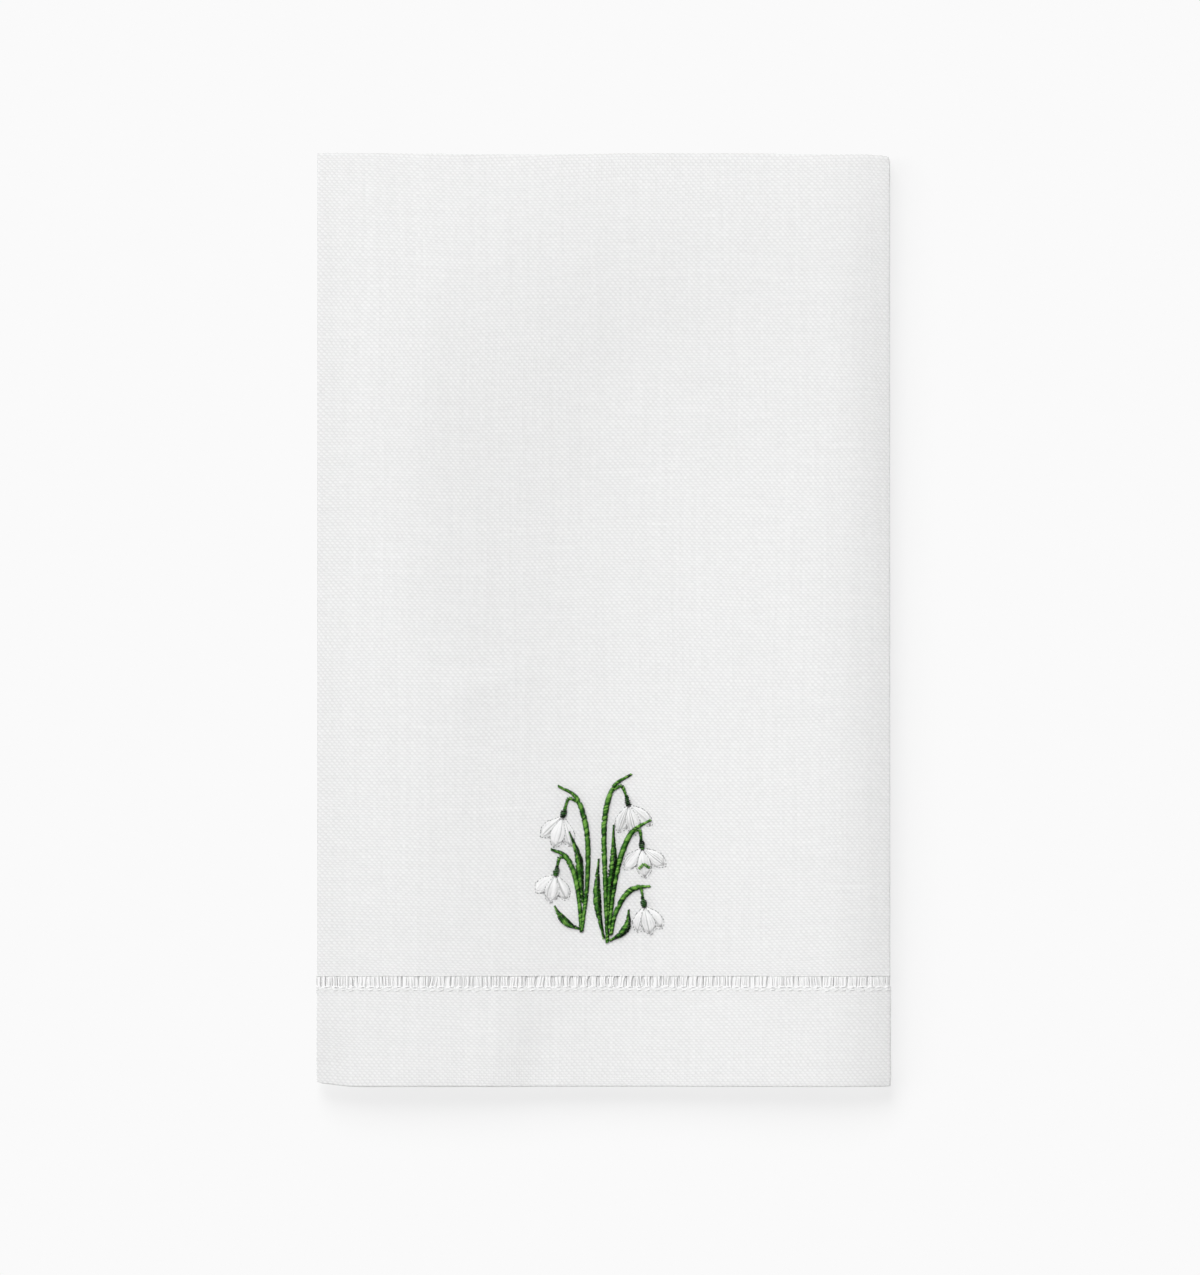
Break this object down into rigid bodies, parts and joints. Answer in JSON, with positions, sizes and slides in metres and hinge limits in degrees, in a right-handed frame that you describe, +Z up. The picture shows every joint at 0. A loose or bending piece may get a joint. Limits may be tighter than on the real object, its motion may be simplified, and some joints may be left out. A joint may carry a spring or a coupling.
{
  "type": "folded hand towel",
  "caption": "Linen hand towel with a deep hemstitched hem and an embroidered flower spray, sides folded in and folded across, lying face up.",
  "frame": {"origin": "centre of the bounding box's underside, on the surface that the folded towel rests on", "axes": "+Z up out of the embroidered face, +Y from the deep front hem to the cross fold (the longest side), +X to the right seen face on"},
  "size_m": [0.1782, 0.2896, 0.0077],
  "materials": {
    "linen": "bleached plain-weave linen, matt, slightly slubbed",
    "sewing_thread": "white hemstitching thread",
    "green_thread": "satin-stitched embroidery thread in greens, soft sheen",
    "white_thread": "satin-stitched embroidery thread in white, soft sheen",
    "grey_thread": "thin grey outline stitches of the embroidery"
  },
  "bodies": {
    "root": {"towel_cloth": "linen"}
  },
  "joints": []
}
